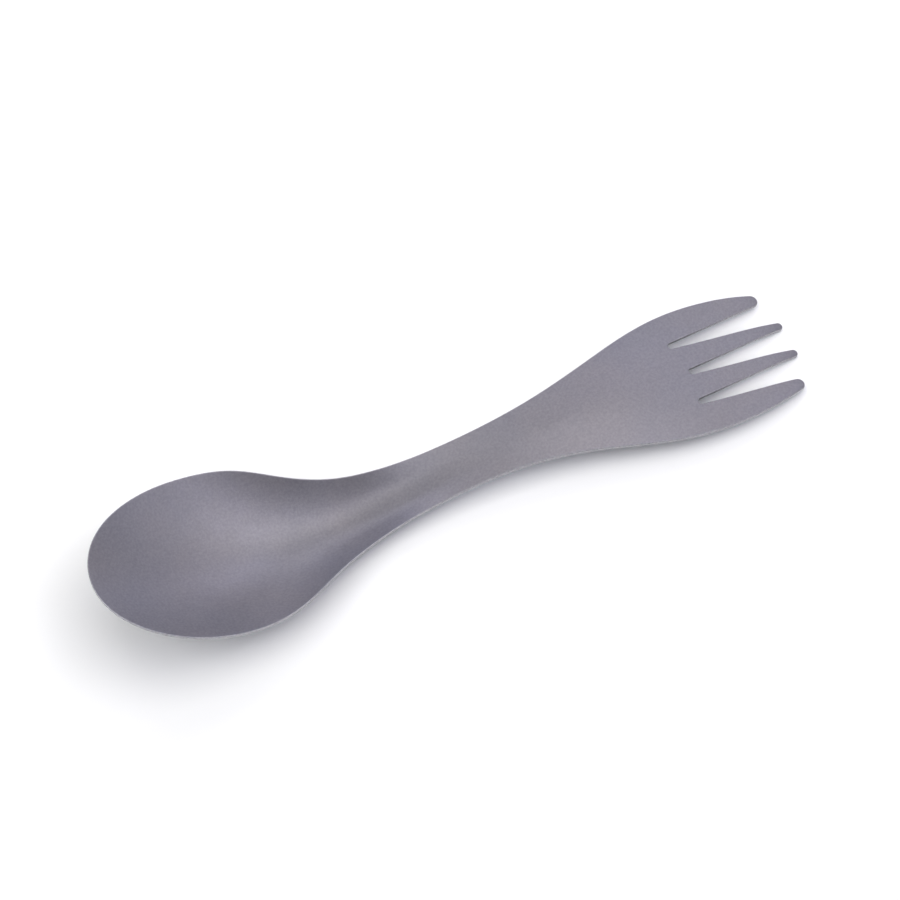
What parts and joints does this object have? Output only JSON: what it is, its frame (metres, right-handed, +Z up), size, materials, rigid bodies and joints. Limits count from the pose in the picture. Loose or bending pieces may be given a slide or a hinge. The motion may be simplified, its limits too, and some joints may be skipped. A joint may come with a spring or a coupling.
{
  "type": "camping spork",
  "caption": "One-piece titanium camping spork: a spoon bowl at one end, a tined fork at the other and a grooved handle between them.",
  "frame": {"origin": "on the surface that the spork lies on, half-way along its length and across its width", "axes": "+X along the spork towards the fork's tines, +Y across it, +Z up out of the bowl"},
  "size_m": [0.165, 0.039, 0.0218],
  "materials": {
    "blasted_titanium": "bead-blasted titanium, satin, cool grey with a faint violet cast, rubbed brighter along the cut edge"
  },
  "bodies": {
    "root": {"spork": "blasted_titanium"}
  },
  "joints": []
}
